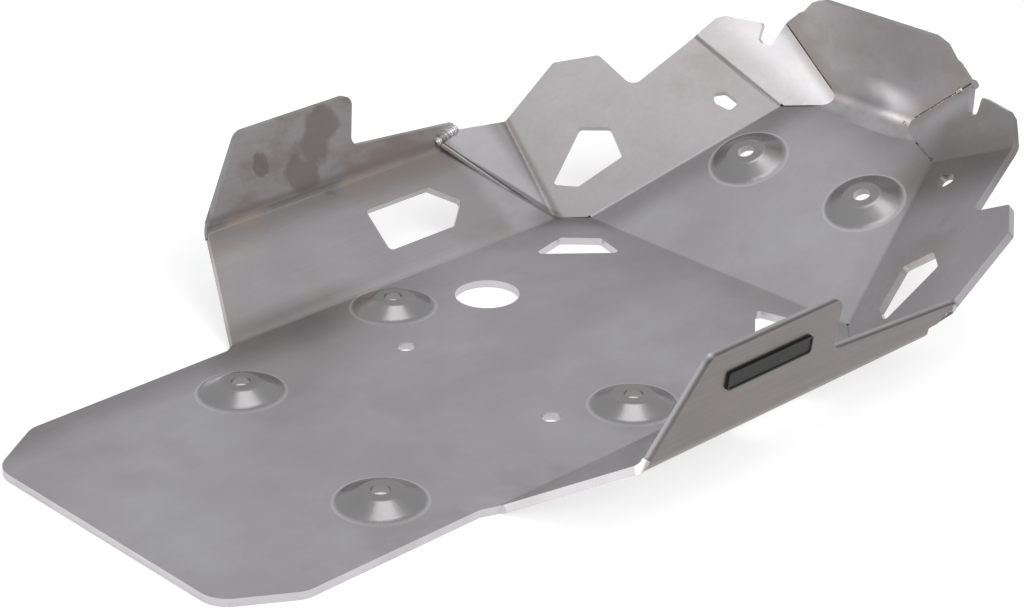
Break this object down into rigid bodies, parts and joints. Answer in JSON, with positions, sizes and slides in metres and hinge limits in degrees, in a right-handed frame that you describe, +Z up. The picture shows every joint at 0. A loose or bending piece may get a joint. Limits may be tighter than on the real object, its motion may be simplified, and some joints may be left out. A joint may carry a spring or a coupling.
{
  "type": "motorcycle engine guard",
  "caption": "Folded aluminium engine guard with raised wings, upright side flanges, a front ramp with folded cheeks and a nose, pressed bolt seats and a drain opening.",
  "frame": {"origin": "on the underside of the floor, in the middle of the guard's width, level along its length with the drain opening's centre", "axes": "+X forwards along the length to the nose, +Y to the rider's left, +Z up from the floor into the engine space"},
  "size_m": [0.5191, 0.343, 0.1106],
  "materials": {
    "plate_aluminium": "satin mill finish with brownish stains and polished pressed seats",
    "badge_black": "satin black"
  },
  "bodies": {
    "root": {"guard_plate": "plate_aluminium", "badge_plate": "badge_black"}
  },
  "joints": []
}
